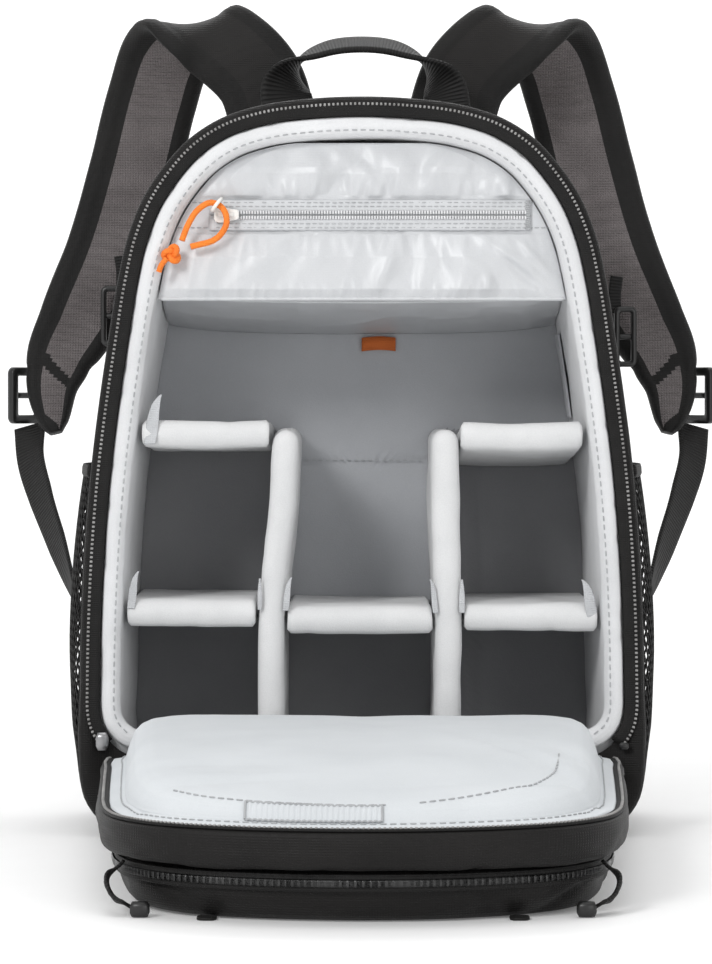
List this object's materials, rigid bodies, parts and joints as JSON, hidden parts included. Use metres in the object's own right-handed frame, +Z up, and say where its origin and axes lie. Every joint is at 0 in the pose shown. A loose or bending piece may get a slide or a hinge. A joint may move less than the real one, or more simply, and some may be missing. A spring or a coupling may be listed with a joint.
{
  "type": "camera backpack",
  "caption": "black camera backpack standing open, arched front lid folded forward on the floor, light padded dividers and a zipped silver pocket with an orange cord pull",
  "frame": {"origin": "middle of the flat base of the body, on the floor", "axes": "+Z up, -Y out of the open front towards the folded lid, +X to the right seen from the front; the body leans back 4.5 degrees"},
  "size_m": [0.3758, 0.5441, 0.4173],
  "materials": {
    "black_nylon": "matt woven nylon",
    "black_webbing": "ribbed webbing",
    "black_plastic": "satin",
    "light_lining": "brushed lining",
    "silver_nylon": "shiny nylon",
    "grey_lining": "brushed lining",
    "white_plastic": "satin",
    "orange_cord": "braided cord",
    "orange_tab": "plain tape",
    "grey_metal": "satin"
  },
  "bodies": {
    "root": {"body_shell": "black_nylon", "body_zip": "black_webbing", "lining_wall": "light_lining", "lining_back": "grey_lining", "divider_post_left": "light_lining", "divider_post_right": "light_lining", "divider_upper_left": "light_lining", "divider_upper_right": "light_lining", "divider_lower_left": "light_lining", "divider_lower_middle": "light_lining", "divider_lower_right": "light_lining", "tab_upper_left": "light_lining", "tab_lower_left": "light_lining", "tab_lower_right": "light_lining", "tab_post_left_a": "light_lining", "tab_post_left_b": "light_lining", "tab_post_right_a": "light_lining", "tab_post_right_b": "light_lining", "pocket_wall": "silver_nylon", "pocket_floor": "silver_nylon", "pocket_zip": "silver_nylon", "pocket_slider": "white_plastic", "pocket_puller": "white_plastic", "pull_cord": "orange_cord", "pull_knot": "orange_cord", "orange_tab": "orange_tab", "wall_strip": "grey_lining", "lid_shell": "black_nylon", "lid_zip": "black_webbing", "lid_lining": "light_lining", "front_pocket": "black_nylon", "front_pocket_zip": "black_webbing", "handle": "black_webbing", "hinge_strip": "black_webbing", "body_zip_slider": "grey_metal", "strap_left": "black_nylon", "webbing_left": "black_webbing", "strap_buckle_left": "black_plastic", "sternum_buckle_left": "black_plastic", "sternum_loop_left": "black_webbing", "side_pocket_left": "black_webbing", "side_binding_left": "black_webbing", "lid_loop_left": "black_webbing", "lid_buckle_left": "black_plastic", "lid_tab_left": "black_webbing", "back_pad_left": "black_nylon", "strap_right": "black_nylon", "webbing_right": "black_webbing", "strap_buckle_right": "black_plastic", "sternum_buckle_right": "black_plastic", "sternum_loop_right": "black_webbing", "side_pocket_right": "black_webbing", "side_binding_right": "black_webbing", "lid_loop_right": "black_webbing", "lid_buckle_right": "black_plastic", "lid_tab_right": "black_webbing", "back_pad_right": "black_nylon"}
  },
  "joints": []
}
